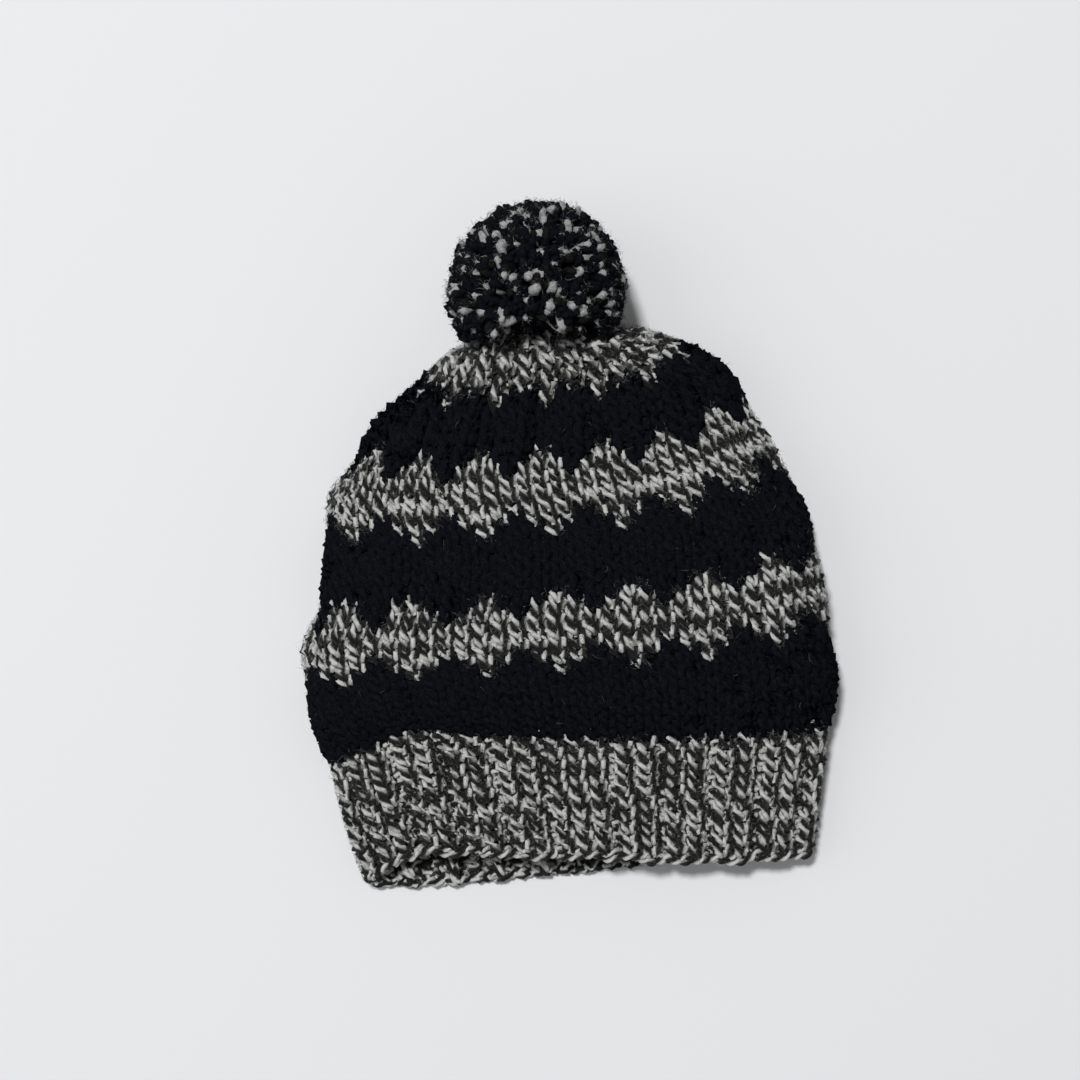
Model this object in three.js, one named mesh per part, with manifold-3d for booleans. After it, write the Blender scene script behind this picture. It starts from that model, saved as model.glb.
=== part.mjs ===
// Hand-knitted wool hat with a pompom, lying on its back on a table.
// Millimetres, +Z up, +Y from the rim of the hat to its pompom, +X to the right of the hat.
import * as THREE from 'three';
import { mergeVertices } from 'three/addons/utils/BufferGeometryUtils.js';
import Module from 'manifold-3d';

const wasm = await Module();
wasm.setup();

// Driving sizes of the knitting
const stitchesRound = 64;
const ribs = 21;
const lozenges = 16;
const rowHeight = 5.6;
const bandHeight = 57;
const wall = 6;
const gap = 0.3;

// Driving sizes of the pompom: a round core, and locks that stand on it with their roots inside.
// It lies on the table beside the closed end of the crown, where it is sewn on and pressed back
// to a bowed face that is furthest from the rim at its middle.
const pompom = {
  radius: 39, core: 33.5, along: 259, side: -1.5, sunk: 0.5, sewnAt: 242, sewnSide: -10, bow: 0.006,
  pressed: 3, locks: 84, lockSides: 5, lockRoot: 6.2, lockTip: 4.4, lockInside: 8, uneven: 0.6,
};

// How far the rim of the upper layer slides back from that of the lower layer, by the share of
// the way round from the middle of the underside: right fold, upper layer, left fold.
// The slide fades out above the band.
const archFade = { from: 20, to: 125 };
const mouthArch = [
  { round: 0.14, back: 0 },
  { round: 0.25, back: -2 },
  { round: 0.38, back: 1 },
  { round: 0.5, back: 8 },
  { round: 0.6, back: 13 },
  { round: 0.68, back: 16 },
  { round: 0.74, back: 6 },
  { round: 0.84, back: 0 },
];

// How far the upper border of the band is drawn up into a peak beside the mouth's arch.
const bandRise = [
  { round: 0.5, up: 0 },
  { round: 0.56, up: 2 },
  { round: 0.61, up: 5 },
  { round: 0.64, up: 7 },
  { round: 0.68, up: 0 },
];

// Sections across the lying hat, from the rim to the closed end under the pompom: how far each
// reaches to the left and to the right of the middle line, and the heights that it lies between.
const sections = [
  { along: 0, left: 104, right: 97, low: 0, high: 27 },
  { along: 20, left: 109, right: 101.5, low: 0, high: 31 },
  { along: 40, left: 112.5, right: 106, low: 0, high: 35 },
  { along: 58, left: 115, right: 110.5, low: 0, high: 40 },
  { along: 80, left: 118.5, right: 113.5, low: 0, high: 47 },
  { along: 112, left: 120, right: 112, low: 0, high: 52 },
  { along: 132, left: 110.5, right: 110.5, low: 0, high: 53 },
  { along: 150, left: 105.5, right: 108, low: 0, high: 53 },
  { along: 165, left: 104.5, right: 103, low: 0, high: 52 },
  { along: 180, left: 101.5, right: 96.5, low: 0, high: 50 },
  { along: 195, left: 88.5, right: 89.5, low: 0, high: 49 },
  { along: 210, left: 77, right: 83, low: 0, high: 49 },
  { along: 222, left: 62, right: 75, low: 0.5, high: 49.5 },
  { along: 231, left: 52, right: 63.5, low: 3, high: 49.5 },
  { along: 237, left: 42.5, right: 50, low: 7, high: 48 },
  { along: 241, left: 31, right: 36, low: 12, high: 44 },
  { along: 243.5, left: 17, right: 19, low: 18, high: 36 },
  { along: 244.5, left: 0, right: 0, low: 24.5, high: 24.5 },
];
const closedEnd = sections.at(-1).along;

// Form of every section: the height of its side folds, the roundness of its layers, and how
// deep the table presses the underside.
const foldHeight = 0.42;
const sideRound = 0.8;
const upperRound = 0.8;
const lowerRound = 0.3;
const press = 1.5;

// One column of a table, read smoothly between its rows.
function read(table, key, column, place) {
  const last = table.length - 1;
  let row = table.findIndex((entry) => entry[key] > place) - 1;
  if (row === -2) row = place > table[0][key] ? last - 1 : 0;
  if (row === -1) row = 0;
  const slope = (i) => {
    const before = table[Math.max(i - 1, 0)];
    const after = table[Math.min(i + 1, last)];
    return (after[column] - before[column]) / (after[key] - before[key]);
  };
  const from = table[row];
  const to = table[row + 1];
  const span = to[key] - from[key];
  const t = THREE.MathUtils.clamp((place - from[key]) / span, 0, 1);
  const ease = t * t * (3 - 2 * t);
  const leave = t * (1 - t) * (1 - t) * span * slope(row);
  const arrive = t * t * (t - 1) * span * slope(row + 1);
  return from[column] + (to[column] - from[column]) * ease + leave + arrive;
}

// The outline of the section at one place along the hat, as a closed run of even steps that
// starts at the middle of the underside and turns to the right.
const outlineSteps = 240;
const outlines = new Map();
function outline(along) {
  if (outlines.has(along)) return outlines.get(along);
  const [left, right, low, high] = ['left', 'right', 'low', 'high'].map((column) =>
    read(sections, 'along', column, along));
  const half = (left + right) / 2;
  const middle = (right - left) / 2;
  const fold = low + foldHeight * (high - low);
  const drawn = [];
  for (let step = 0; step <= outlineSteps; step++) {
    const turn = 2 * Math.PI * (step / outlineSteps - 0.25);
    const across = Math.cos(turn);
    const up = Math.sin(turn);
    const x = middle + half * Math.sign(across) * Math.abs(across) ** sideRound;
    const upper = fold + (high - fold) * Math.abs(up) ** upperRound;
    const lower = Math.max(low, fold - (fold - low) * Math.abs(up) ** lowerRound - press);
    const underside = Math.min(lower, fold);
    drawn.push(new THREE.Vector2(x, up >= 0 ? upper : underside));
  }
  const lengths = [0];
  for (let step = 1; step <= outlineSteps; step++) {
    lengths.push(lengths[step - 1] + drawn[step].distanceTo(drawn[step - 1]));
  }
  const made = { drawn, lengths };
  outlines.set(along, made);
  return made;
}

// A point of the hat's smooth outer face: round is the share of the way round, along the way up.
// The columns of stitches lean a little to the left on the way up.
const columnLean = 0.016;
function face(round, along) {
  const { drawn, lengths } = outline(THREE.MathUtils.clamp(along, 0, closedEnd));
  const leaning = round + columnLean * along / closedEnd;
  const turned = leaning - Math.floor(leaning);
  const wanted = turned * lengths.at(-1);
  let step = lengths.findIndex((length) => length > wanted);
  if (step < 1) step = outlineSteps;
  const share = (wanted - lengths[step - 1]) / Math.max(lengths[step] - lengths[step - 1], 1e-9);
  const point = drawn[step - 1].clone().lerp(drawn[step], share);
  const fade = 1 - THREE.MathUtils.smoothstep(along, archFade.from, archFade.to);
  const back = read(mouthArch, 'round', 'back', turned) * fade;
  return new THREE.Vector3(point.x, along + back, point.y);
}

// A point of the knitted wall, out from the smooth face or in from it, and never under the table.
const probe = { round: 0.002, along: 0.5 };
function lay(round, along, out) {
  const point = face(round, along);
  if (along === closedEnd) return point.add(new THREE.Vector3(0, out, 0));
  const aroundway = face(round + probe.round, along).sub(face(round - probe.round, along));
  const upway = face(round, along + probe.along).sub(face(round, along - probe.along));
  point.addScaledVector(upway.cross(aroundway).normalize(), out);
  point.z = Math.max(point.z, 0);
  return point;
}

// Merged and without empty triangles, so that the mesh is one closed skin.
const mergeDistance = 1e-3;
function closedSkin(geometry) {
  geometry.deleteAttribute('normal');
  geometry.deleteAttribute('uv');
  const skin = mergeVertices(geometry, mergeDistance);
  const corners = skin.index.array;
  const kept = [];
  for (let i = 0; i < corners.length; i += 3) {
    const [a, b, c] = corners.slice(i, i + 3);
    if (a !== b && b !== c && c !== a) kept.push(a, b, c);
  }
  skin.setIndex(kept);
  return skin;
}

// Steps that crowd towards the closed end, where the crown is blunt.
const crowd = (share) => 1 - (1 - share) ** 2;

// A knitted ring between two borders, or a cap where the upper border is the closed end.
// lower and upper give a border's place along the hat, relief how far the outer face stands out.
function knitRing({ lower, upper, relief, steps, closes = false }) {
  const profile = [];
  for (let step = 0; step <= steps; step++) profile.push({ share: step / steps, outer: false });
  for (let step = steps; step >= 0; step--) profile.push({ share: step / steps, outer: true });
  profile.push(profile[0]);
  const lathe = new THREE.LatheGeometry(
    profile.map(({ share, outer }) => new THREE.Vector2(outer ? 2 : 1, share)), stitchesRound);
  const places = lathe.getAttribute('position');
  for (let index = 0; index < places.count; index++) {
    const round = (Math.floor(index / profile.length) % stitchesRound) / stitchesRound;
    const { share, outer } = profile[index % profile.length];
    const end = closes && !outer && share < 1 ? upper(round) - wall : upper(round);
    const along = THREE.MathUtils.lerp(lower(round), end, closes ? crowd(share) : share);
    const point = lay(round, along, outer ? relief(round, share) : -wall);
    places.setXYZ(index, point.x, point.y, point.z);
  }
  // The faces of the lower border turn their diagonals to run beside those of the ring below.
  const facesUp = profile.length - 1;
  const corners = lathe.index.array;
  for (let face = facesUp; face <= facesUp * stitchesRound; face += facesUp) {
    const start = 6 * (face - 1);
    const [a, b, d, c] = corners.slice(start, start + 4);
    corners.set([a, b, c, a, c, d], start);
  }
  return closedSkin(lathe);
}

// The pattern of the stripes: 1 at the middle of a lozenge and -1 at the waist between two.
const lozenge = (round) => Math.cos(2 * Math.PI * lozenges * (round - 0.5));

// Rows bend up near the side folds: how far the row of the cap's foot does at each, and how
// evenly the rows below it follow.
const capRow = 28;
const bend = { near: 5, right: { up: 20, follow: 1 }, left: { up: 18, follow: 2 } };
function rowAlong(row, round) {
  const turn = Math.sin(2 * Math.PI * round);
  const { up, follow } = turn > 0 ? bend.right : bend.left;
  return bandHeight + rowHeight * row + up * (row / capRow) ** follow * Math.abs(turn) ** bend.near;
}

// A border between two stripes: its mean row above the band, and how many rows it waves.
const border = (row, wave) => (round) => rowAlong(row + wave * lozenge(round), round);
const above = (line) => (round) => line(round) + gap / 2;
const below = (line) => (round) => line(round) - gap / 2;
const bandTop = (round) => bandHeight + read(bandRise, 'round', 'up', round);
const lowLozengeFoot = border(6.8, -1);
const lowLozengeHead = border(12.5, 1);
const midLozengeFoot = border(17.75, -1);
const midLozengeHead = border(22.75, 1);
const capFoot = border(capRow, -0.5);

// How a stripe swells between its borders, most where the pattern has its lobes.
const swell = (height, lobe) => (round, share) =>
  height * Math.sin(Math.PI * share) * (1 + lobe * lozenge(round)) / (1 + Math.abs(lobe));

// In each rib two plain columns stand up, in one rib three, and a purl column sinks beside them.
const plainHeight = 1.2;
const purlDepth = 2;
const purlColumns = new Set();
for (let rib = 0; rib < ribs; rib++) purlColumns.add(Math.round(rib * stitchesRound / ribs));
const ribbed = (round, share) =>
  (1 - share ** 3) * (purlColumns.has(Math.round(stitchesRound * round)) ? -purlDepth : plainHeight);

// The cap's stitches are drawn into pleats towards the closed end.
const pleat = 1.4;
const pleated = (round, share) =>
  -pleat * Math.sin(Math.PI * share) * lozenge(round);

// Wools: cream and black plied together, plain black, and the pompom's mix of both.
const marlWool = new THREE.MeshStandardMaterial({ color: 0x8a8784, roughness: 0.95, metalness: 0 });
const blackWool = new THREE.MeshStandardMaterial({ color: 0x141519, roughness: 0.97, metalness: 0 });
const pompomWool = new THREE.MeshStandardMaterial({ color: 0x2b2b2f, roughness: 0.97, metalness: 0 });

const stripes = [
  {
    name: 'rib_band', wool: marlWool, lower: () => 0, upper: below(bandTop),
    relief: ribbed, steps: 3,
  },
  {
    name: 'black_stripe_low', wool: blackWool, lower: above(bandTop), upper: below(lowLozengeFoot),
    relief: swell(3.2, -0.3), steps: 4,
  },
  {
    name: 'marl_stripe_low', wool: marlWool, lower: above(lowLozengeFoot), upper: below(lowLozengeHead),
    relief: swell(2.4, 1.8), steps: 3,
  },
  {
    name: 'black_stripe_mid', wool: blackWool, lower: above(lowLozengeHead), upper: below(midLozengeFoot),
    relief: swell(3, -1.1), steps: 3,
  },
  {
    name: 'marl_stripe_mid', wool: marlWool, lower: above(midLozengeFoot), upper: below(midLozengeHead),
    relief: swell(2.4, 1.8), steps: 3,
  },
  {
    name: 'black_stripe_top', wool: blackWool, lower: above(midLozengeHead), upper: below(capFoot),
    relief: swell(3, -1.1), steps: 3,
  },
  {
    name: 'marl_cap', wool: marlWool, lower: above(capFoot), upper: () => closedEnd,
    relief: pleated, steps: 6, closes: true,
  },
];

// Solids for joining and cutting, and back to a geometry.
function toSolid(geometry) {
  const skin = closedSkin(geometry);
  const vertProperties = new Float32Array(skin.getAttribute('position').array);
  const triVerts = new Uint32Array(skin.index.array);
  return new wasm.Manifold(new wasm.Mesh({ numProp: 3, vertProperties, triVerts }));
}

function toGeometry(solid) {
  const { vertProperties, triVerts } = solid.getMesh();
  const geometry = new THREE.BufferGeometry();
  geometry.setAttribute('position', new THREE.BufferAttribute(new Float32Array(vertProperties), 3));
  geometry.setIndex(new THREE.BufferAttribute(new Uint32Array(triVerts), 1));
  return geometry;
}

// What the pompom is pressed against: the crown's closed end with the gap round it.
const seatRow = 24;
const seatSteps = 8;
function pompomSeat() {
  const start = border(seatRow, 0)(0);
  const profile = [];
  for (let step = seatSteps; step >= 0; step--) profile.push(new THREE.Vector2(1, step / seatSteps));
  profile.push(new THREE.Vector2(0, 0));
  const lathe = new THREE.LatheGeometry(profile, stitchesRound);
  const places = lathe.getAttribute('position');
  for (let index = 0; index < places.count; index++) {
    const round = (Math.floor(index / profile.length) % stitchesRound) / stitchesRound;
    const { x: rim, y: share } = profile[index % profile.length];
    const point = lay(round, THREE.MathUtils.lerp(start, closedEnd, crowd(share)), pleat + 2 * gap);
    if (rim === 0) point.set(0, start, wall);
    places.setXYZ(index, point.x, point.y, point.z);
  }
  return toSolid(lathe);
}

// How far a lock can reach from the pompom's middle before it meets the bowed face at the crown.
function reachToCrown(middle, way) {
  const aside = middle.x - pompom.sewnSide;
  const square = pompom.bow * way.x * way.x;
  const slope = way.y + 2 * pompom.bow * way.x * aside;
  const start = middle.y - pompom.sewnAt + pompom.bow * aside * aside;
  const root = slope * slope - 4 * square * start;
  if (slope >= 0 || root < 0) return Infinity;
  return 2 * start / (Math.sqrt(root) - slope);
}

// The pompom: short fat locks of cut yarn on a round core, flat where it lies on the table.
// Towards the crown the core ends short, and the locks there are pressed back.
function pompomGeometry() {
  const goldenTurn = Math.PI * (3 - Math.sqrt(5));
  const up = new THREE.Vector3(0, 1, 0);
  const middle = new THREE.Vector3(pompom.side, pompom.along, pompom.radius - pompom.sunk);
  const room = 4 * pompom.radius;
  const base = new THREE.BoxGeometry(room, room, room);
  base.translate(middle.x, pompom.sewnAt + pompom.pressed - room / 2, middle.z);
  const core = new THREE.IcosahedronGeometry(pompom.core, 2);
  core.translate(...middle);
  let ball = toSolid(core).subtract(toSolid(base));
  const lockLength = pompom.radius - pompom.core + pompom.lockInside;
  for (let lock = 0; lock < pompom.locks; lock++) {
    const height = 1 - (2 * lock + 1) / pompom.locks;
    const turn = lock * goldenTurn;
    const ring = Math.sqrt(1 - height * height);
    const way = new THREE.Vector3(ring * Math.cos(turn), ring * Math.sin(turn), height);
    const free = pompom.radius + pompom.uneven * Math.sin(turn);
    const reach = Math.min(free, reachToCrown(middle, way));
    const shape = new THREE.CylinderGeometry(pompom.lockTip, pompom.lockRoot, lockLength, pompom.lockSides);
    shape.translate(0, reach - lockLength / 2, 0);
    shape.applyQuaternion(new THREE.Quaternion().setFromUnitVectors(up, way));
    shape.translate(...middle);
    ball = ball.add(toSolid(shape));
  }
  const table = new THREE.BoxGeometry(room, room, room);
  table.translate(middle.x, middle.y, -room / 2);
  return toGeometry(ball.subtract(pompomSeat()).subtract(toSolid(table)));
}

// The hat, with its origin under the middle of its box.
const hat = new THREE.Group();
for (const { name, wool, ...ring } of stripes) {
  const mesh = new THREE.Mesh(knitRing(ring), wool);
  mesh.name = name;
  hat.add(mesh);
}
const pompomMesh = new THREE.Mesh(pompomGeometry(), pompomWool);
pompomMesh.name = 'pompom';
hat.add(pompomMesh);

const box = new THREE.Box3().setFromObject(hat);
const centre = box.getCenter(new THREE.Vector3());
hat.position.set(-centre.x, -centre.y, -box.min.z);

export default hat;
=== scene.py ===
import math

import bpy
import numpy as np
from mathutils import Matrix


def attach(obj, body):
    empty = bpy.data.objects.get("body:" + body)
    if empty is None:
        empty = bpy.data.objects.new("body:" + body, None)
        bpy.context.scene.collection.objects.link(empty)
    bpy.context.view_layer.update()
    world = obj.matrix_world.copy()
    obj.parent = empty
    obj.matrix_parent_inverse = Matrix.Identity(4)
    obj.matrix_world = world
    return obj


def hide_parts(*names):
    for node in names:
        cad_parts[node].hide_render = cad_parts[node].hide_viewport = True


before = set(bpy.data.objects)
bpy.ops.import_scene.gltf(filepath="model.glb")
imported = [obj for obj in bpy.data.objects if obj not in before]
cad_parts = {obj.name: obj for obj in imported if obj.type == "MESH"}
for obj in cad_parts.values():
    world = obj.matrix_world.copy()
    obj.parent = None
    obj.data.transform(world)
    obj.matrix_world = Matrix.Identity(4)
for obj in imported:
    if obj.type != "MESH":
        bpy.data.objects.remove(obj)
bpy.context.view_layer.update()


# Rib band
# The rim of the hat, ten rows of thick marl yarn: a cream and a black ply twisted together.
# It is knitted in the round, two plain columns that stand up and one purl column that sinks,
# on a rope of two strands that the first loops were cast on to.

# Sections across the lying hat, rim to closed end: along, left, right, low, high.
sections = np.array([
    (0.0000, 0.1040, 0.0970, 0.0000, 0.0270),
    (0.0200, 0.1090, 0.1015, 0.0000, 0.0310),
    (0.0400, 0.1125, 0.1060, 0.0000, 0.0350),
    (0.0580, 0.1150, 0.1105, 0.0000, 0.0400),
    (0.0800, 0.1185, 0.1135, 0.0000, 0.0470),
    (0.1120, 0.1200, 0.1120, 0.0000, 0.0520),
    (0.1320, 0.1105, 0.1105, 0.0000, 0.0530),
    (0.1500, 0.1055, 0.1080, 0.0000, 0.0530),
    (0.1650, 0.1045, 0.1030, 0.0000, 0.0520),
    (0.1800, 0.1015, 0.0965, 0.0000, 0.0500),
    (0.1950, 0.0885, 0.0895, 0.0000, 0.0490),
    (0.2100, 0.0770, 0.0830, 0.0000, 0.0490),
    (0.2220, 0.0620, 0.0750, 0.0005, 0.0495),
    (0.2310, 0.0520, 0.0635, 0.0030, 0.0495),
    (0.2370, 0.0425, 0.0500, 0.0070, 0.0480),
    (0.2410, 0.0310, 0.0360, 0.0120, 0.0440),
    (0.2435, 0.0170, 0.0190, 0.0180, 0.0360),
    (0.2445, 0.0000, 0.0000, 0.0245, 0.0245),
])
closed_end, end_height = sections[-1, 0], sections[-1, 3]

# How far the upper layer's rim slides back, by the share of the way round: round, back.
mouth_arch = np.array([
    (0.14, 0.000),
    (0.25, -0.002),
    (0.38, 0.001),
    (0.50, 0.008),
    (0.60, 0.013),
    (0.68, 0.016),
    (0.74, 0.006),
    (0.84, 0.000),
])
arch_fade_from, arch_fade_to = 0.020, 0.125

# How far the band's upper border is drawn up into a peak beside that arch: round, up.
band_rise = np.array([
    (0.50, 0.000),
    (0.56, 0.002),
    (0.61, 0.005),
    (0.64, 0.007),
    (0.68, 0.000),
])
band_height = 0.057
fold_height, side_round, upper_round, lower_round, press = 0.42, 0.8, 0.8, 0.3, 0.0015
column_lean = 0.016

# The closed end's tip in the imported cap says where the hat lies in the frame.
cap_corners = [v.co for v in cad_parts["marl_cap"].data.vertices]
tip = max((co for co in cap_corners if abs(co.z - end_height) < 1e-5), key=lambda co: co.y)
hat_place = np.array((tip.x, tip.y - closed_end, 0.0))


def read(table, column, places):
    """One column of a table, read smoothly between its rows."""
    keys, values = table[:, 0], table[:, column]
    last = len(keys) - 1
    before = np.maximum(np.arange(last + 1) - 1, 0)
    after = np.minimum(np.arange(last + 1) + 1, last)
    slopes = (values[after] - values[before]) / (keys[after] - keys[before])
    row = np.clip(np.searchsorted(keys, places, side="right") - 1, 0, last - 1)
    span = keys[row + 1] - keys[row]
    t = np.clip((places - keys[row]) / span, 0, 1)
    ease = t * t * (3 - 2 * t)
    leave = t * (1 - t) ** 2 * span * slopes[row]
    arrive = t * t * (t - 1) * span * slopes[row + 1]
    return values[row] + (values[row + 1] - values[row]) * ease + leave + arrive


# The hat's smooth outer face on a fine grid: points and outward normals, by along and round.
before_rim, before_end = 0.006, 0.0002
lines_along, lines_round, turns_round = 500, 481, 721
grid_alongs = np.linspace(-before_rim, closed_end - before_end, lines_along)
grid_rounds = np.linspace(0, 1, lines_round)
grid_points = np.empty((lines_along, lines_round, 3))
turns = 2 * np.pi * (np.linspace(0, 1, turns_round) - 0.25)
across, up = np.cos(turns), np.sin(turns)
for line, along in zip(grid_points, grid_alongs):
    left, right, low, high = (read(sections, column, max(along, 0.0)) for column in (1, 2, 3, 4))
    fold = low + fold_height * (high - low)
    x = (right - left) / 2 + (left + right) / 2 * np.sign(across) * np.abs(across) ** side_round
    upper = fold + (high - fold) * np.abs(up) ** upper_round
    lower = np.maximum(low, fold - (fold - low) * np.abs(up) ** lower_round - press)
    z = np.where(up >= 0, upper, np.minimum(lower, fold))
    way = np.concatenate(([0], np.cumsum(np.hypot(np.diff(x), np.diff(z)))))
    leaning = np.mod(grid_rounds + column_lean * along / closed_end, 1)
    faded = np.clip((along - arch_fade_from) / (arch_fade_to - arch_fade_from), 0, 1)
    faded = 1 - faded * faded * (3 - 2 * faded)
    line[:, 0] = np.interp(leaning, way / way[-1], x)
    line[:, 1] = along + read(mouth_arch, 1, leaning) * faded
    line[:, 2] = np.interp(leaning, way / way[-1], z)
upway = np.gradient(grid_points, axis=0)
aroundway = np.roll(grid_points[:, :-1], -1, axis=1) - np.roll(grid_points[:, :-1], 1, axis=1)
aroundway = np.concatenate((aroundway, aroundway[:, :1]), axis=1)
grid_normals = np.cross(upway, aroundway)
grid_normals /= np.linalg.norm(grid_normals, axis=2, keepdims=True)


def lay(around, along, out):
    """Points out from the hat's smooth face, and the normals there."""
    a = np.interp(along, grid_alongs, np.arange(len(grid_alongs)))
    a = np.clip(a, 0, len(grid_alongs) - 1.001)
    r = np.mod(around, 1) * (len(grid_rounds) - 1)
    i, j = a.astype(int), np.minimum(r.astype(int), len(grid_rounds) - 2)
    s, t = (a - i)[:, None], (r - j)[:, None]

    def mixed(grid):
        near = grid[i, j] * (1 - t) + grid[i, j + 1] * t
        far = grid[i + 1, j] * (1 - t) + grid[i + 1, j + 1] * t
        return near * (1 - s) + far * s

    normal = mixed(grid_normals)
    normal /= np.linalg.norm(normal, axis=1, keepdims=True)
    return mixed(grid_points) + normal * np.asarray(out)[:, None] + hat_place, normal


# One stitch: the yarn comes from behind, climbs out as the left leg, turns behind the next row
# as the head and goes down as the right leg. A purl stitch is the same seen from the back.
leg_spread = 0.28
loop_rise = 0.92
yarn_half = 0.0021
yarn_pressed = 0.0017
end_tuck = 0.0022
tuck_length = 0.16
side_change = 0.2
yarn_thin, leg_plump = 0.84, 0.22
slack = {"sway": 0.025, "lift": 0.05, "stand": 0.00025}
chance = np.random.default_rng(7)


def knit_run(first, count, whole, steps, loop_depth, round_at, along_at, relief, purl):
    """One run of yarn along a row: centre points, normals and how full the yarn is there."""
    step = np.arange(count * steps + (0 if whole else 1))
    stitch = np.minimum(step // steps, count - 1)
    phase = step / steps - stitch
    loose = np.sin(np.pi * phase) ** 2
    sway, lift, stand = (
        chance.normal(0, spread, count)[stitch] * loose for spread in slack.values())
    column = first + stitch + phase - 0.5 + leg_spread * np.sin(4 * np.pi * phase) + sway
    rise = 0.5 - loop_rise * np.cos(2 * np.pi * phase) + lift
    side = np.where(purl(first + np.arange(-1, count + 1)), -1.0, 1.0)
    here, before, after = side[stitch + 1], side[stitch], side[stitch + 2]
    turn_in = np.where(here == before, 1, np.clip(phase / side_change, 0, 1))
    turn_out = np.where(here == after, 1, np.clip((1 - phase) / side_change, 0, 1))
    shown = here * turn_in * turn_out
    depth = yarn_half + loop_depth * (0.5 + 0.5 * shown * np.cos(4 * np.pi * phase))
    if not whole:
        from_end = np.minimum(step, step[-1] - step) / steps
        depth = depth + end_tuck * np.clip(1 - from_end / tuck_length, 0, 1)
    around = round_at(column)
    along = along_at(rise, around)
    point, normal = lay(around, along, relief(rise, around, along) - depth + stand)
    point[:, 2] = np.maximum(point[:, 2], yarn_pressed)
    full = yarn_thin + leg_plump * np.sin(2 * np.pi * phase) ** 2
    return {"point": point, "normal": normal, "full": full, "whole": whole, "steps": steps}


ply_arc = 105
groove_least = 0.1


def yarn_section(ply, apart, arc_points):
    """Two round plies side by side: a groove, an arc of one, a groove, an arc of the other."""
    groove = math.sqrt(max(ply * ply / 4 - apart * apart, (groove_least * ply) ** 2))
    arc = np.radians(np.linspace(-ply_arc, ply_arc, arc_points))
    one = np.stack((apart + ply / 2 * np.cos(arc), ply / 2 * np.sin(arc)), axis=1)
    return np.concatenate(([(0, -groove)], one, [(0, groove)], -one))


def unit(ways):
    return ways / np.linalg.norm(ways, axis=-1, keepdims=True)


twist_uneven = 0.6

# A bake cell holds one stitch of yarn, with a strip at its foot for the cut ends of a run.
cell_left, cell_wide = 0.04, 0.92
cell_foot, cell_tall = 0.08, 0.88
cut_foot, cut_head, cut_wide = 0.02, 0.06, 0.8
cut_strand = (0, 0.7, 0, 0.7, 0, 0.8, 0, 0.8)


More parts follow.
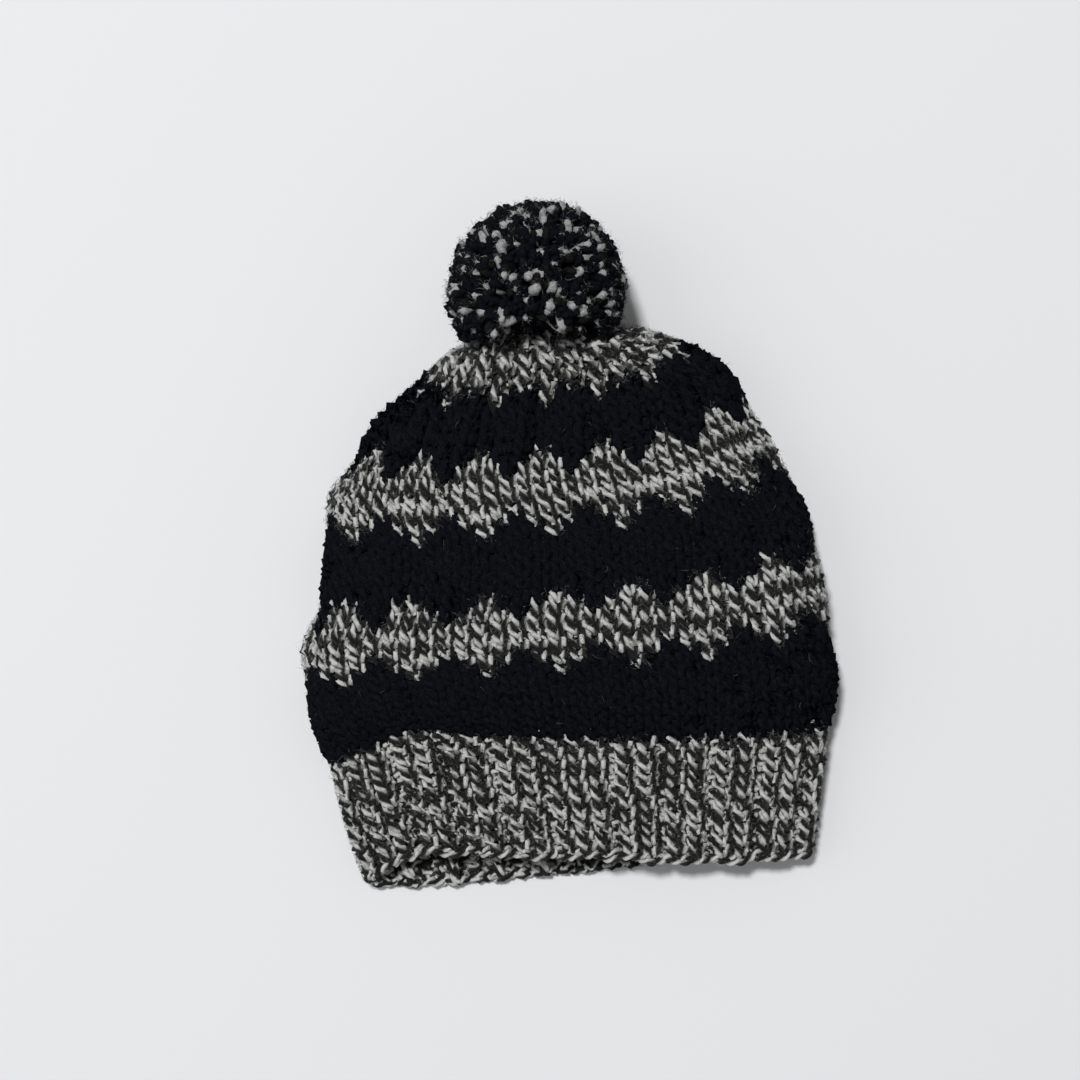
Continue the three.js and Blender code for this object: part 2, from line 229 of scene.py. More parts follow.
def yarn_piece(name, runs, section, pitch, yarn):
    """Sweeps the plied yarn along its runs and joins them to one mesh, pressed on the table."""
    points, faces, strand, cells = [], [], [], []
    sides = len(section)
    start = patch = 0
    for run in runs:
        centre, whole, steps = run["point"], run["whole"], run["steps"]
        count = len(centre)
        if whole:
            ahead = unit(np.roll(centre, -1, axis=0) - np.roll(centre, 1, axis=0))
        else:
            ahead = unit(np.gradient(centre, axis=0))
        out = unit(run["normal"] - ahead * np.sum(run["normal"] * ahead, axis=1, keepdims=True))
        beside = np.cross(ahead, out)
        stretch = np.linalg.norm(np.diff(centre, axis=0, append=centre[:1]), axis=1)
        way = np.concatenate(([0], np.cumsum(stretch)))
        twist_length = run.get("pitch", pitch)
        half_turns = round(2 * way[-1] / twist_length)
        turned = way[:count] / way[-1] * half_turns / 2 if whole else way[:count] / twist_length
        knots = math.ceil(count / steps)
        uneven = chance.normal(0, twist_uneven, knots)
        uneven = np.interp(np.arange(count) / steps, np.arange(knots), uneven,
                           period=knots if whole else None)
        twist = (chance.uniform(0, 2 * np.pi) - 2 * np.pi * turned + uneven)[:, None]
        x, y = (section[None, :, axis] * run["full"][:, None] for axis in (0, 1))
        outward = (x * np.cos(twist) - y * np.sin(twist))[..., None] * out[:, None]
        sideward = (x * np.sin(twist) + y * np.cos(twist))[..., None] * beside[:, None]
        made = centre[:, None] + outward + sideward
        made[..., 2] = np.maximum(made[..., 2], 0)
        points.append(made.reshape(-1, 3))
        rings = count if whole else count - 1
        j, e = (v.ravel() for v in np.meshgrid(np.arange(rings), np.arange(sides), indexing="ij"))
        f = (e + 1) % sides
        closing = j + 1 == count
        shift = np.where(closing, sides // 2 * (half_turns % 2), 0)
        ahead_ring = (j + 1) % count * sides
        faces.append(start + np.stack((
            j * sides + e, ahead_ring + (e + shift) % sides,
            ahead_ring + (f + shift) % sides, j * sides + f), axis=1))
        here, there = way[j] * 1000, way[j + 1] * 1000
        foot, head = e / sides, (e + 1) / sides
        strand.append(np.stack((here, foot, there, foot, there, head, here, head), axis=1))
        u0, v0 = cell_left + cell_wide * e / sides, cell_foot + cell_tall * (j % steps) / steps
        u1, v1 = u0 + cell_wide / sides, v0 + cell_tall / steps
        cell = np.stack((u0, v0, u0, v1, u1, v1, u1, v0), axis=1)
        cells.append(np.concatenate(((patch + j // steps)[:, None], cell), axis=1))
        patch += math.ceil(rings / steps)
        if not whole:
            strips = [(k, k + 1, sides - 2 - k, sides - 1 - k) for k in range(sides // 2 - 1)]
            last = (count - 1) * sides
            ends = strips + [tuple(last + corner for corner in reversed(strip)) for strip in strips]
            faces.append(start + np.array(ends))
            strand.append(np.tile(cut_strand, (len(ends), 1)))
            u0 = cell_left + cell_wide * np.arange(len(ends)) / len(ends)
            u1 = u0 + cut_wide / len(ends)
            v0, v1 = np.full(len(ends), cut_foot), np.full(len(ends), cut_head)
            cell = np.stack((u0, v0, u0, v1, u1, v1, u1, v0), axis=1)
            cells.append(np.concatenate((np.full((len(ends), 1), patch - 1), cell), axis=1))
        start += count * sides
    mesh = bpy.data.meshes.new(name)
    faces = np.concatenate(faces)
    mesh.from_pydata(np.concatenate(points), [], faces)
    mesh.polygons.foreach_set("use_smooth", np.ones(len(faces), bool))
    strand = np.concatenate(strand).ravel().astype(np.float32)
    mesh.uv_layers.new(name="strand").uv.foreach_set("vector", strand)
    cells = np.concatenate(cells)
    wide = math.ceil(math.sqrt(patch))
    corner = np.stack((cells[:, 0] % wide, cells[:, 0] // wide), axis=1)
    bake = ((cells[:, 1:] + np.tile(corner, 4)) / wide).ravel().astype(np.float32)
    mesh.uv_layers.new(name="OFBake").uv.foreach_set("vector", bake)
    mesh.materials.append(yarn)
    mesh.update()
    piece = bpy.data.objects.new(name, mesh)
    bpy.context.scene.collection.objects.link(piece)
    return piece


def wool(name, shades, plied, mottle, felted, sheen):
    """Spun wool: fibres along the strand, felted fluff over them, in marl a shade for each ply."""
    material = bpy.data.materials.new(name)
    material.use_nodes = True
    nodes, links = material.node_tree.nodes, material.node_tree.links
    shader = nodes["Principled BSDF"]
    shader.inputs["Roughness"].default_value = 1.0
    shader.inputs["Specular IOR Level"].default_value = 0.02
    shader.inputs["Sheen Weight"].default_value = sheen
    shader.inputs["Sheen Roughness"].default_value = 0.6
    strand = nodes.new("ShaderNodeUVMap")
    strand.uv_map = "strand"
    stretch = nodes.new("ShaderNodeMapping")
    stretch.inputs["Scale"].default_value = (0.45, 16.0, 1.0)
    fibres = nodes.new("ShaderNodeTexNoise")
    fibres.inputs["Scale"].default_value = 1.0
    fibres.inputs["Detail"].default_value = 4.0
    place = nodes.new("ShaderNodeTexCoord")
    fluff = nodes.new("ShaderNodeTexNoise")
    fluff.inputs["Scale"].default_value = 1300.0
    fluff.inputs["Detail"].default_value = 3.0
    surface = nodes.new("ShaderNodeMix")
    surface.data_type = "FLOAT"
    surface.inputs["Factor"].default_value = felted
    split = nodes.new("ShaderNodeSeparateXYZ")
    # In marl a sine round the strand sets the ply. With graded ramp stops, the cream is painted
    # brightest on its ply's crest and greyer towards the grooves. That grey is painted shade as well
    # as the change of ply.
    turn = nodes.new("ShaderNodeMath")
    turn.operation = "MULTIPLY"
    turn.inputs[1].default_value = 2 * math.pi
    wave = nodes.new("ShaderNodeMath")
    wave.operation = "SINE"
    ply = nodes.new("ShaderNodeMath")
    ply.operation = "MULTIPLY_ADD"
    ply.inputs[1].default_value = plied / 2
    ply.inputs[2].default_value = 0.5 - mottle / 2
    shade = nodes.new("ShaderNodeMath")
    shade.operation = "MULTIPLY_ADD"
    shade.inputs[1].default_value = mottle
    ramp = nodes.new("ShaderNodeValToRGB")
    stops = ramp.color_ramp.elements
    while len(stops) < len(shades):
        stops.new(0.5)
    for stop, (position, colour) in zip(stops, shades):
        stop.position = position
        stop.color = (*colour, 1)
    bump = nodes.new("ShaderNodeBump")
    bump.inputs["Strength"].default_value = 0.4
    bump.inputs["Distance"].default_value = 0.0004
    links.new(strand.outputs["UV"], stretch.inputs["Vector"])
    links.new(strand.outputs["UV"], split.inputs["Vector"])
    links.new(stretch.outputs["Vector"], fibres.inputs["Vector"])
    links.new(split.outputs["Y"], turn.inputs[0])
    links.new(turn.outputs["Value"], wave.inputs[0])
    links.new(wave.outputs["Value"], ply.inputs[0])
    links.new(place.outputs["Object"], fluff.inputs["Vector"])
    links.new(fibres.outputs["Fac"], surface.inputs["A"])
    links.new(fluff.outputs["Fac"], surface.inputs["B"])
    links.new(surface.outputs["Result"], shade.inputs[0])
    links.new(ply.outputs["Value"], shade.inputs[2])
    links.new(shade.outputs["Value"], ramp.inputs["Fac"])
    links.new(ramp.outputs["Color"], shader.inputs["Base Color"])
    links.new(surface.outputs["Result"], bump.inputs["Height"])
    links.new(bump.outputs["Normal"], shader.inputs["Normal"])
    return material


# From the black ply to the cream ply. The graded cream stops put painted shade on the cream towards
# the grooves between the plies.
marl_shades = (
    (0.05, (0.009, 0.0084, 0.0084)),
    (0.34, (0.028, 0.026, 0.026)),
    (0.50, (0.120, 0.116, 0.112)),
    (0.66, (0.285, 0.287, 0.278)),
    (0.80, (0.45, 0.456, 0.441)),
    (0.95, (0.53, 0.539, 0.52)),
)
marl_yarn = wool("marl_yarn", marl_shades, plied=1.0, mottle=0.45, felted=0.35, sheen=0.1)
marl_section = yarn_section(ply=0.0023, apart=0.00105, arc_points=4)
marl_pitch = 0.0115
marl_steps = 13
marl_depth = 0.0036

stitches_round = 64
ribs = 21
rib_rows = 10
rib_foot = 0.0025
purl_width = 0.4
plain_height, purl_depth = 0.0012, 0.0032
valley_shape, fade_shape = 1.5, 3
purl_columns = np.round(np.arange(ribs + 1) * stitches_round / ribs)


def rib_round(column):
    """Purl columns are narrow and the plain ones wide: the place of a column round the band."""
    sewn = np.concatenate([(place - 0.5, place + 0.5) for place in purl_columns])
    half = purl_width / 2
    drawn = np.concatenate([(place - half, place + half) for place in purl_columns])
    return np.interp(column, sewn, drawn) / stitches_round


def band_top(around):
    return band_height + read(band_rise, 1, np.mod(around, 1))


def rib_relief(around, along):
    """Plain columns stand up, the purl column sinks, and both fade into the crown."""
    place = np.mod(around, 1) * stitches_round
    from_purl = np.abs(place[:, None] - purl_columns[None]).min(axis=1)
    valley = np.clip(1 - from_purl, 0, 1) ** valley_shape
    ribbed = plain_height - (plain_height + purl_depth) * valley
    return ribbed * (1 - np.clip(along / band_height, 0, 1) ** fade_shape)


def is_purl(stitch):
    return np.isin(stitch % stitches_round, purl_columns % stitches_round)


def rib_along(row):
    return lambda rise, around: rib_foot + (band_top(around) - rib_foot) * (row + rise) / rib_rows


band_runs = [
    knit_run(0, stitches_round, True, marl_steps, marl_depth, rib_round, rib_along(row),
             lambda rise, around, along: rib_relief(around, along), is_purl)
    for row in range(rib_rows)
]

# The cast-on rope: two strands laid loosely round each other along the rim.
rope_steps = 9
rope_turns = 12 / 64
rope_radius = 0.0011
rope_pitch = 0.0085
rope_along = 0.0012
rope_depth = 0.0030
rope_slack = 0.0004
rope_full = 0.9
rope_follows_ribs = 0.5
for strand_turn in (0.0, math.pi):
    place = np.arange(stitches_round * rope_steps) / rope_steps
    turn = 2 * np.pi * rope_turns * place + strand_turn
    around = rib_round(place)
    loose = chance.normal(0, rope_slack, stitches_round)
    slack_knot = np.interp(place, np.arange(stitches_round), loose, period=stitches_round)
    along = rope_along - rope_radius * np.sin(turn) + slack_knot
    relief = rope_follows_ribs * rib_relief(around, along)
    point, normal = lay(around, along, relief - rope_depth + rope_radius * np.cos(turn))
    point[:, 2] = np.maximum(point[:, 2], yarn_pressed)
    band_runs.append({
        "point": point, "normal": normal, "full": np.full(len(place), rope_full), "whole": True,
        "steps": rope_steps, "pitch": rope_pitch,
    })
rib_band = yarn_piece("rib_band_knit", band_runs, marl_section, marl_pitch, marl_yarn)
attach(rib_band, "root")
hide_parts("rib_band")


# Stripes of the crown
# Plain stripes in black wool and patterned ones in marl, changed in lozenges four stitches wide.
# Each row is knitted on from the last; where the colour changes, a run of yarn ends inside.
row_height = 0.0056
lozenges = 16


def lozenge(around):
    """1 at the middle of a lozenge, -1 at the waist between two."""
    return np.cos(2 * np.pi * lozenges * around)


# Rows where a stripe's lower border lies, how far it waves, how it swells and where its lobes are.
stripes = {
    "black_stripe_low": (0, 0, 0.0032, -0.3),
    "marl_stripe_low": (6.8, -1, 0.0024, 1.8),
    "black_stripe_mid": (12.5, 1, 0.0030, -1.1),
    "marl_stripe_mid": (17.75, -1, 0.0024, 1.8),
    "black_stripe_top": (22.75, 1, 0.0030, -1.1),
    "marl_cap": (28, -0.5, 0.0, 0.0),
}
stripe_names = list(stripes)
rise_rows = 7
cap_foot_row = 28
cap_rows = 6
cap_full = 1.12
crown_rows = cap_foot_row + cap_rows
cap_crowding = 1.5
pleat = 0.0014

# How far the row of the cap's foot bends up at a side fold, and how evenly the rows below follow.
right_bend, right_follow = 0.020, 1
left_bend, left_follow = 0.018, 2
bend_near = 5


def row_along(row, around):
    """Rows bend up to the side folds and to the band's peak, and crowd to the closed end."""
    turn = np.sin(2 * np.pi * around)
    up_share = np.clip(row / cap_foot_row, 0, 1)
    right, left = right_bend * up_share ** right_follow, left_bend * up_share ** left_follow
    bend = np.where(turn > 0, right, left) * np.abs(turn) ** bend_near
    peak = (band_top(around) - band_height) * np.clip(1 - row / rise_rows, 0, 1)
    below = band_height + row_height * np.minimum(row, cap_foot_row) + bend + peak
    share = np.clip((row - cap_foot_row) / cap_rows, 0, 1)
    return below + (closed_end - below) * (1 - (1 - share) ** cap_crowding)


def stitches_in(row):
    """The crown is drawn in by knitting stitches together."""
    return 64 if row < 23 else 48 if row < 28 else 32 if row < 31 else 20


def border(stripe, around):
    """A stripe's lower border, in rows above the band."""
    row, wave = stripes[stripe][:2]
    return row + wave * lozenge(around)


def crown_relief(row, around):
    """Each stripe swells between its borders, and the cap is drawn into pleats."""
    relief = np.zeros_like(row)
    for name, above in zip(stripe_names, stripe_names[1:]):
        height, lobe = stripes[name][2:]
        foot, head = border(name, around), border(above, around)
        share = (row - foot) / (head - foot)
        swell = height * np.sin(np.pi * share) * (1 + lobe * lozenge(around)) / (1 + abs(lobe))
        relief = np.where((share >= 0) & (share < 1), swell, relief)
    foot = border("marl_cap", around)
    share = np.clip((row - foot) / (crown_rows - foot), 0, 1)
    pleated = -pleat * np.sin(np.pi * share) * lozenge(around)
    return np.where(row >= foot, pleated, relief)


def plain(stitch):
    return np.zeros(len(stitch), bool)


def crown_run(row, first, count, whole, steps, loop_depth):
    """A run of stitches in one row of the crown."""
    in_row = stitches_in(row)
    run = knit_run(first, count, whole, steps, loop_depth, lambda column: column / in_row,
                   lambda rise, around: row_along(row + rise, around),
                   lambda rise, around, along: crown_relief(row + rise, around), plain)
    if row >= cap_foot_row:
        run["full"] *= cap_full
    return run


def stripe_runs(name, steps, loop_depth):
    """The runs of yarn that a stripe is knitted from, row by row."""
    number = stripe_names.index(name)
    runs = []
    for row in range(crown_rows):
        in_row = stitches_in(row)
        around = np.arange(in_row) / in_row
        inside = row + 0.5 >= border(name, around)
        if number + 1 < len(stripe_names):
            inside &= row + 0.5 < border(stripe_names[number + 1], around)
        if inside.all():
            runs.append(crown_run(row, 0, in_row, True, steps, loop_depth))
            continue
        for first in np.flatnonzero(inside & ~np.roll(inside, 1)):
            count = 1
            while inside[(first + count) % in_row]:
                count += 1
            runs.append(crown_run(row, first, count, False, steps, loop_depth))
    return runs


black_shades = (
    (0.34, (0.0028, 0.0032, 0.0046)),
    (0.52, (0.0052, 0.0059, 0.0084)),
    (0.72, (0.013, 0.014, 0.0175)),
)
black_yarn = wool("black_yarn", black_shades, plied=0.0, mottle=1.0, felted=0.7, sheen=0.0)
black_section = yarn_section(ply=0.0040, apart=0.0011, arc_points=3)
black_pitch = 0.016
black_steps = 10
black_depth = 0.0017
for name in stripe_names:
    if name.startswith("black"):
        runs = stripe_runs(name, black_steps, black_depth)
        piece = yarn_piece(name + "_knit", runs, black_section, black_pitch, black_yarn)
    else:
        runs = stripe_runs(name, marl_steps, marl_depth)
        piece = yarn_piece(name + "_knit", runs, marl_section, marl_pitch, marl_yarn)
    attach(piece, "root")
    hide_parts(name)


# Pompom
# A ball of cut yarn ends, black yarn mixed with the marl, tied in the middle and sewn to the cap.
# Each end is two plies; the ends are clipped round, and pressed back by the table and the crown.
pompom_radius = 0.0386
pompom_middle = hat_place + np.array((-0.0015, 0.259, 0.0385))
sewn_at, sewn_side, sewn_bow = hat_place[1] + 0.242, hat_place[0] - 0.010, 6.0
yarn_ends = 1100
marl_share = 0.34
marl_apart = 0.12
ply_sides = 7
ply_thick = (0.0015, 0.0023)
ply_apart = 0.0016
ply_twist = 7.0
leaning_share = 0.55
little_lean, much_lean, lean_range = 0.0016, 0.0056, (0.4, 1.2)
lean_from = 0.7
way_scatter, clip_uneven, ply_uneven = 0.03, 0.0008, 0.010
crown_clear, table_clear = (0.0040, 0.0052), 0.0012
lump_range, lump_rough, tip_share = (0.86, 1.14), 0.0003, 0.008

golden_turn = math.pi * (3 - math.sqrt(5))
number = np.arange(yarn_ends)
height = 1 - (2 * number + 1) / yarn_ends
ring = np.sqrt(1 - height * height)
turn = number * golden_turn
way = np.stack((ring * np.cos(turn), ring * np.sin(turn), height), axis=1)
way = unit(way + chance.normal(0, way_scatter, way.shape))

# An end stops at the ball's clipped face, at the table or at the bowed face by the crown.
aside = pompom_middle[0] - sewn_side
square = sewn_bow * way[:, 0] ** 2
slope = way[:, 1] + 2 * sewn_bow * way[:, 0] * aside
begin = pompom_middle[1] - sewn_at + sewn_bow * aside ** 2
root = np.maximum(slope ** 2 - 4 * square * begin, 0)
to_crown = np.where(slope < 0, 2 * begin / np.maximum(np.sqrt(root) - slope, 1e-6), 1.0)
to_table = (table_clear - pompom_middle[2]) / np.minimum(way[:, 2], -1e-6)
reach = pompom_radius + chance.normal(0, clip_uneven, yarn_ends)
to_crown = to_crown - chance.uniform(*crown_clear, yarn_ends)
reach = np.minimum(reach, np.minimum(to_crown, to_table))
lean = chance.normal(0, 1, way.shape)
lean = unit(lean - way * np.sum(lean * way, axis=1, keepdims=True))
far_lean = chance.random(yarn_ends) < leaning_share
lean_size = np.where(far_lean, much_lean, little_lean) * chance.uniform(*lean_range, yarn_ends)
lean *= lean_size[:, None]
helper = np.where(np.abs(way[:, 2:3]) < 0.9, (0.0, 0.0, 1.0), (1.0, 0.0, 0.0))
side = unit(np.cross(way, helper))
other = np.cross(way, side)

# The marl ends lie well spread among the black ones.
is_marl = np.zeros(yarn_ends, bool)
for end in chance.permutation(yarn_ends):
    beside_marl = np.any(way[is_marl] @ way[end] > math.cos(marl_apart))
    is_marl[end] = not beside_marl and is_marl.sum() < marl_share * yarn_ends
ply_turn = chance.uniform(0, 2 * np.pi, yarn_ends)

# Rings of one ply, root to clipped tip: share of the reach, and size.
ply_rings = ((0.74, 0.92), (0.91, 1.0), (0.965, 0.90), (0.990, 0.55))
corners_each = len(ply_rings) * ply_sides + 1
corners = np.empty((2, yarn_ends, corners_each, 3))
tips = np.empty((2, yarn_ends, 3))
angles = 2 * np.pi * np.arange(ply_sides) / ply_sides
for ply in (0, 1):
    length = reach * (1 + chance.normal(0, ply_uneven, yarn_ends))
    thick = chance.uniform(*ply_thick, yarn_ends)
    for index, (share, size) in enumerate(ply_rings):
        turn = ply_turn + ply * np.pi + ply_twist * share
        apart = (side * np.cos(turn)[:, None] + other * np.sin(turn)[:, None]) * ply_apart
        bent = lean * ((share - lean_from) / (1 - lean_from)) ** 2
        centre = pompom_middle + way * (length * share)[:, None] + bent + apart
        for k, angle in enumerate(angles):
            lump = thick * size * chance.uniform(*lump_range, yarn_ends)
            spread = side * math.cos(angle) + other * math.sin(angle)
            rough = way * chance.normal(0, lump_rough, (yarn_ends, 1))
            corners[ply, :, index * ply_sides + k] = centre + spread * lump[:, None] + rough
    tips[ply] = centre + way * (length * tip_share)[:, None]
    corners[ply, :, -1] = tips[ply]
corners = corners.reshape(-1, corners_each, 3)
corners[..., 2] = np.maximum(corners[..., 2], 0.0)
one_ply = []
for index in range(len(ply_rings) - 1):
    for k in range(ply_sides):
        a, b = index * ply_sides + k, index * ply_sides + (k + 1) % ply_sides
        one_ply.append((a, b, b + ply_sides, a + ply_sides))
top = (len(ply_rings) - 1) * ply_sides
one_ply += [(top + k, top + (k + 1) % ply_sides, corners_each - 1) for k in range(ply_sides)]
one_ply.append(tuple(reversed(range(ply_sides))))
plies = 2 * yarn_ends
faces = [tuple(v + ply * corners_each for v in face) for ply in range(plies) for face in one_ply]

# Places of one ply's faces on the strand and in its own bake cell, its root below its sides.
strand_step, strand_length = 4.0, 500
side_left, side_wide, side_foot, side_tall = 0.05, 0.9, 0.2, 0.75
root_across, root_up, root_size = 0.5, 0.1, 0.08
one_strand, one_cell = [], []
bands = len(ply_rings)
for index in range(bands):
    for k in range(ply_sides):
        square = [(k, index), (k + 1, index), (k + 1, index + 1), (k, index + 1)]
        if index == bands - 1:
            square = square[:2] + [(k + 0.5, bands)]
        one_strand += [(strand_step * v, u / ply_sides) for u, v in square]
        one_cell += [(side_left + side_wide * u / ply_sides, side_foot + side_tall * v / bands)
                     for u, v in square]
for angle in reversed(angles):
    one_strand.append((0.0, 0.5 + 0.1 * math.cos(angle)))
    one_cell.append((root_across + root_size * math.cos(angle), root_up + root_size * math.sin(angle)))
ply_number = np.arange(plies)
slide = np.stack((chance.uniform(0, strand_length, plies), np.zeros(plies)), axis=1)
strand = np.array(one_strand)[None] + slide[:, None]
wide = math.ceil(math.sqrt(plies))
cell = np.stack((ply_number % wide, ply_number // wide), axis=1)
bake = (np.array(one_cell)[None] + cell[:, None]) / wide

white_shades = (
    (0.30, (0.13, 0.133, 0.133)),
    (0.50, (0.33, 0.338, 0.338)),
    (0.75, (0.52, 0.532, 0.532)),
)
brown_shades = (
    (0.35, (0.005, 0.0048, 0.005)),
    (0.70, (0.018, 0.0165, 0.0157)),
)
white_ends = wool("white_ends", white_shades, plied=0.0, mottle=1.0, felted=0.6, sheen=0.1)
brown_ends = wool("brown_ends", brown_shades, plied=0.0, mottle=1.0, felted=0.6, sheen=0.0)
kinds = np.concatenate((np.where(is_marl, 2, 0), np.where(is_marl, 1, 0)))
pompom_mesh = bpy.data.meshes.new("pompom_ends")
pompom_mesh.from_pydata(corners.reshape(-1, 3), [], faces)
pompom_mesh.polygons.foreach_set("material_index", np.repeat(kinds, len(one_ply)).astype(np.int32))
pompom_mesh.polygons.foreach_set("use_smooth", np.ones(len(faces), bool))
pompom_mesh.uv_layers.new(name="strand").uv.foreach_set("vector", strand.ravel().astype(np.float32))
pompom_mesh.uv_layers.new(name="OFBake").uv.foreach_set("vector", bake.ravel().astype(np.float32))
for material in (black_yarn, brown_ends, white_ends):
    pompom_mesh.materials.append(material)
pompom_mesh.update()
pompom = bpy.data.objects.new("pompom_ends", pompom_mesh)
bpy.context.scene.collection.objects.link(pompom)
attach(pompom, "root")
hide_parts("pompom")

# The tied heart of the pompom, which the ends hide: a ball, flat towards the crown, painted near-black
# without gloss. It stands for the black yarn and for the painted shade deep among the ends.
heart_radius = 0.030
heart_pressed = 0.004
bpy.ops.object.select_all(action="DESELECT")
bpy.ops.mesh.primitive_ico_sphere_add(subdivisions=4, radius=heart_radius, location=(0, 0, 0))
heart = bpy.context.object
heart.name = "pompom_heart"
for vertex in heart.data.vertices:
    place = np.array(vertex.co) + pompom_middle
    vertex.co = (place[0], max(place[1], sewn_at + heart_pressed), place[2])
bpy.ops.object.shade_smooth()
heart_shade_wool = bpy.data.materials.new("heart_shade_wool")
heart_shade_wool.use_nodes = True
heart_shader = heart_shade_wool.node_tree.nodes["Principled BSDF"]
heart_shader.inputs["Base Color"].default_value = (0.003, 0.003, 0.0035, 1)
heart_shader.inputs["Roughness"].default_value = 1.0
heart_shader.inputs["Specular IOR Level"].default_value = 0.0
heart.data.materials.append(heart_shade_wool)
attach(heart, "root")
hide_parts("pompom")


# Loose hairs
# Single wool fibres that stand off the yarn all over the hat, as on any soft spun wool:
# pale and dark ones on the marl, mostly dark ones on the black stripes and the pompom.
seen_round = (0.2, 0.8)
root_depth = 0.0008
straight = 0


def hair_ways(normals, stand):
    """Directions that lie along the surface or stand up from it by a share."""
    drift = unit(chance.normal(0, 1, normals.shape))
    drift = drift - normals * np.sum(drift * normals, axis=1, keepdims=True)
    return unit(unit(drift) + normals * chance.uniform(*stand, (len(normals), 1)))


def hair_piece(name, roots, ways, lengths, thick, bend, colour):
    """Thin needles, closed at the root and pointed at the tip, straight or bent, in one mesh."""
    count = len(roots)
    beside = unit(np.cross(ways, chance.normal(0, 1, ways.shape)))
    over = np.cross(ways, beside)
    around_root = [(beside * math.cos(angle) + over * math.sin(angle)) * thick
                   for angle in (0, 2 * np.pi / 3, 4 * np.pi / 3)]
    middle = roots + ways * lengths[:, None] / 2
    onward = unit(ways + bend * unit(chance.normal(0, 1, ways.shape)))
    levels = [[roots + spread for spread in around_root]]
    shape = [(2, 1, 0)]
    if bend:
        levels.append([middle + spread * 0.9 for spread in around_root])
        shape += [(0, 1, 4, 3), (1, 2, 5, 4), (2, 0, 3, 5)]
    last = 3 * len(levels)
    shape += [(last - 3, last - 2, last), (last - 2, last - 1, last), (last - 1, last - 3, last)]
    point = middle + onward * lengths[:, None] / 2
    needle = np.stack([corner for level in levels for corner in level] + [point], axis=1)
    needle[..., 2] = np.maximum(needle[..., 2], 0.0001)
    each = last + 1
    faces = [tuple(v + each * hair for v in face) for hair in range(count) for face in shape]
    mesh = bpy.data.meshes.new(name)
    mesh.from_pydata(needle.reshape(-1, 3), [], faces)
    mesh.polygons.foreach_set("use_smooth", np.ones(count * len(shape), bool))
    hair_wool = bpy.data.materials.new(name + "_wool")
    hair_wool.use_nodes = True
    shader = hair_wool.node_tree.nodes["Principled BSDF"]
    shader.inputs["Base Color"].default_value = (*colour, 1)
    shader.inputs["Roughness"].default_value = 1.0
    shader.inputs["Specular IOR Level"].default_value = 0.05
    mesh.materials.append(hair_wool)
    mesh.update()
    piece = bpy.data.objects.new(name, mesh)
    bpy.context.scene.collection.objects.link(piece)
    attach(piece, "root")


def hat_roots(count):
    """Places all over the knitting, with their normals, and whether they are on black wool."""
    around = chance.uniform(*seen_round, count)
    row = chance.uniform(-rib_rows, crown_rows - 1, count)
    in_band, crown_row = row < 0, np.maximum(row, 0)
    middle = np.floor(row) + 0.5
    borders_below = sum((middle >= border(name, around)).astype(int) for name in stripe_names)
    along = np.where(in_band, band_top(around) * (1 + row / rib_rows), row_along(crown_row, around))
    relief = np.where(in_band, rib_relief(around, along), crown_relief(crown_row, around))
    roots, normals = lay(around, along, relief - root_depth)
    return roots, normals, borders_below % 2 == 1


pale_fibre, dark_fibre = (0.24, 0.24, 0.235), (0.016, 0.0145, 0.014)
# The grey hairs for the black stripes are partly lint and partly painted highlight: black fibres
# painted grey as if catching the light.
lint_and_sheen_fibre, black_fibre = (0.06, 0.06, 0.062), (0.012, 0.013, 0.017)

# Short fluff, close to the yarn.
fluff_count, fluff_thick, fluff_length, fluff_stand = 38000, 0.00007, (0.0014, 0.0032), (0.0, 0.6)
pale_on_black, pale_on_marl = 0.015, 0.5
roots, normals, on_black = hat_roots(fluff_count)
ways = hair_ways(normals, fluff_stand)
lengths = chance.uniform(*fluff_length, len(roots))
pale = chance.random(len(roots)) < np.where(on_black, pale_on_black, pale_on_marl)
for name, chosen, colour, slot in (
        ("pale_marl_fluff", ~on_black & pale, pale_fibre, "marl_wool"),
        ("dark_marl_fluff", ~on_black & ~pale, dark_fibre, "marl_wool"),
        ("black_lint_and_sheen", on_black & pale, lint_and_sheen_fibre, "black_wool"),
        ("black_fluff", on_black & ~pale, black_fibre, "black_wool")):
    hair_piece(name, roots[chosen], ways[chosen], lengths[chosen], fluff_thick, straight, colour)

# Longer stray fibres, bent.
stray_count, stray_thick, stray_length, stray_stand = 1500, 0.00005, (0.003, 0.007), (0.1, 0.9)
stray_bend = 0.8
pale_on_black, pale_on_marl = 0.08, 0.5
roots, normals, on_black = hat_roots(stray_count)
ways = hair_ways(normals, stray_stand)
lengths = chance.uniform(*stray_length, len(roots))
pale = chance.random(len(roots)) < np.where(on_black, pale_on_black, pale_on_marl)
for name, chosen, colour, slot in (
        ("pale_stray_hairs", pale, pale_fibre, "marl_wool"),
        ("dark_stray_hairs", ~pale, dark_fibre, "black_wool")):
    hair_piece(name, roots[chosen], ways[chosen], lengths[chosen],
               stray_thick, stray_bend, colour)

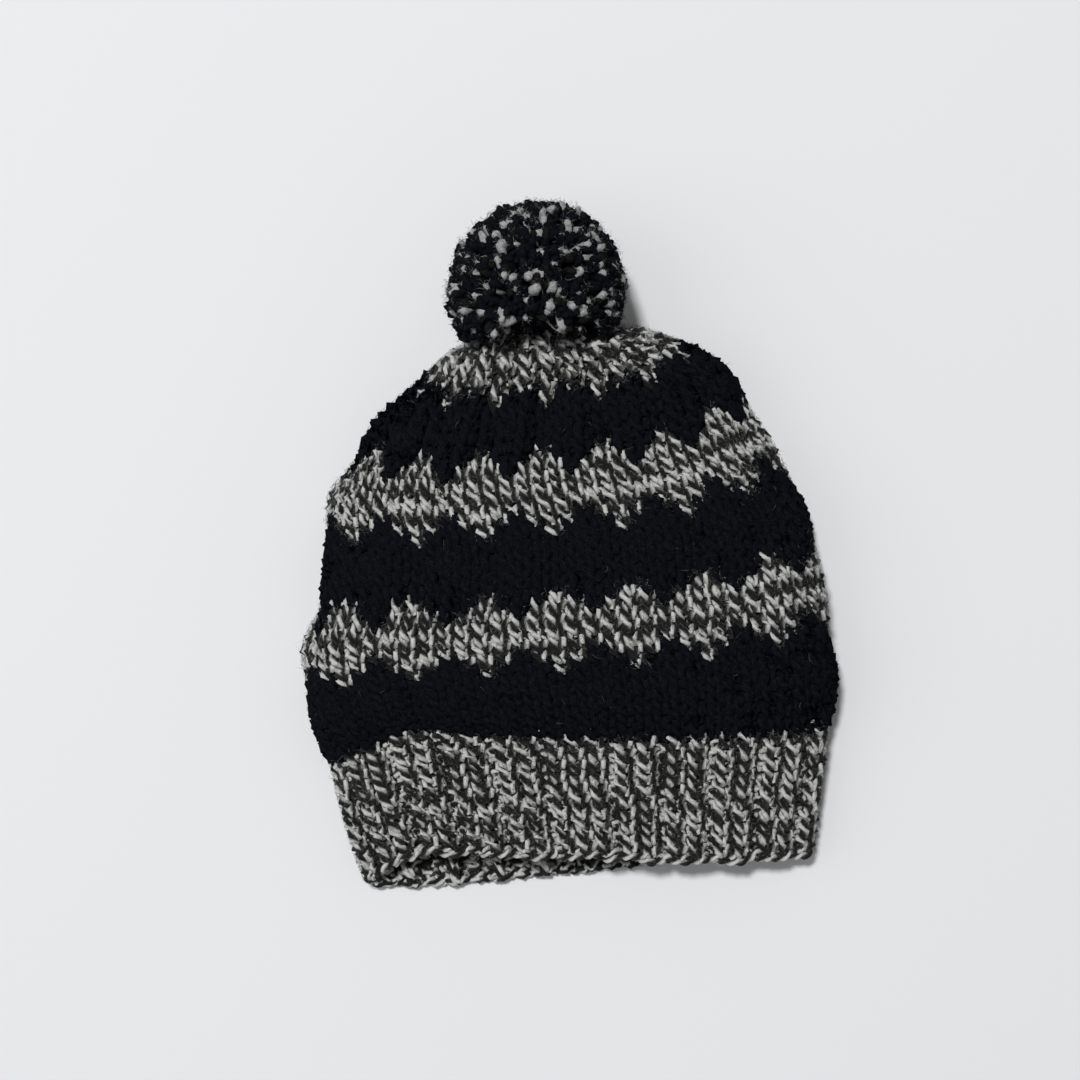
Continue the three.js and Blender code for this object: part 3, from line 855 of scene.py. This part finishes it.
# The frayed tips of the pompom's yarn ends: black, brown and white.
frays_each = np.array((10, 10, 34))[kinds]
fray_thick, fray_length, fray_stand = 0.00010, (0.0011, 0.0029), (0.1, 1.3)
fray_back, fray_scatter = 0.0016, 0.0012
frays = np.repeat(np.arange(plies), frays_each)
fray_ways = way[frays % yarn_ends]
scatter = chance.normal(0, fray_scatter, (len(frays), 3))
roots = tips.reshape(-1, 3)[frays] - fray_ways * fray_back + scatter
ways = hair_ways(fray_ways, fray_stand)
lengths = chance.uniform(*fray_length, len(frays))
for name, kind, colour in (
        ("white_frays", 2, pale_fibre),
        ("brown_frays", 1, dark_fibre),
        ("black_frays", 0, black_fibre)):
    chosen = kinds[frays] == kind
    hair_piece(name, roots[chosen], ways[chosen], lengths[chosen],
               fray_thick, straight, colour)


# Table, light and camera
# A plain pale table that the hat lies on, painted matt.
# A light stands high behind the pompom, a wide one low on the left, and the camera looks down.
table_size = 6
bpy.ops.object.select_all(action="DESELECT")
bpy.ops.mesh.primitive_plane_add(size=table_size, location=(0, 0, 0))
table = bpy.context.object
table.name = "table"
pale_table = bpy.data.materials.new("pale_table")
pale_table.use_nodes = True
table_shader = pale_table.node_tree.nodes["Principled BSDF"]
table_shader.inputs["Base Color"].default_value = (0.795, 0.803, 0.818, 1)
table_shader.inputs["Roughness"].default_value = 0.9
table_shader.inputs["Specular IOR Level"].default_value = 0.1
table.data.materials.append(pale_table)


def studio_light(name, place, size, energy):
    """A square soft light, turned to the hat."""
    bpy.ops.object.select_all(action="DESELECT")
    bpy.ops.object.light_add(type="AREA", location=place)
    light = bpy.context.object
    light.name = name
    light.data.size = size
    light.data.energy = energy
    tip = -math.atan2(place[1], math.hypot(place[0], place[2]))
    roll = math.atan2(place[0], place[2])
    light.rotation_euler = (tip, roll, 0)


studio_light("key_light", (-1.00, 2.20, 6.20), size=0.80, energy=328)
studio_light("side_light", (-1.50, 0.20, 1.50), size=1.50, energy=6)

sky = bpy.data.worlds.new("studio")
bpy.context.scene.world = sky
sky.use_nodes = True
sky.node_tree.nodes["Background"].inputs["Color"].default_value = (1, 1, 1, 1)
sky.node_tree.nodes["Background"].inputs["Strength"].default_value = 0.225

camera_height = 1.0
frame_width = 0.491
camera_turn = math.radians(-5.73)
camera_over = hat_place + np.array((-0.01084, 0.15061, camera_height))
bpy.ops.object.camera_add(location=camera_over, rotation=(0, 0, camera_turn))
camera = bpy.context.object
camera.data.sensor_width = 36
camera.data.lens = camera.data.sensor_width * camera_height / frame_width
bpy.context.scene.camera = camera
bpy.context.scene.view_settings.view_transform = "Standard"
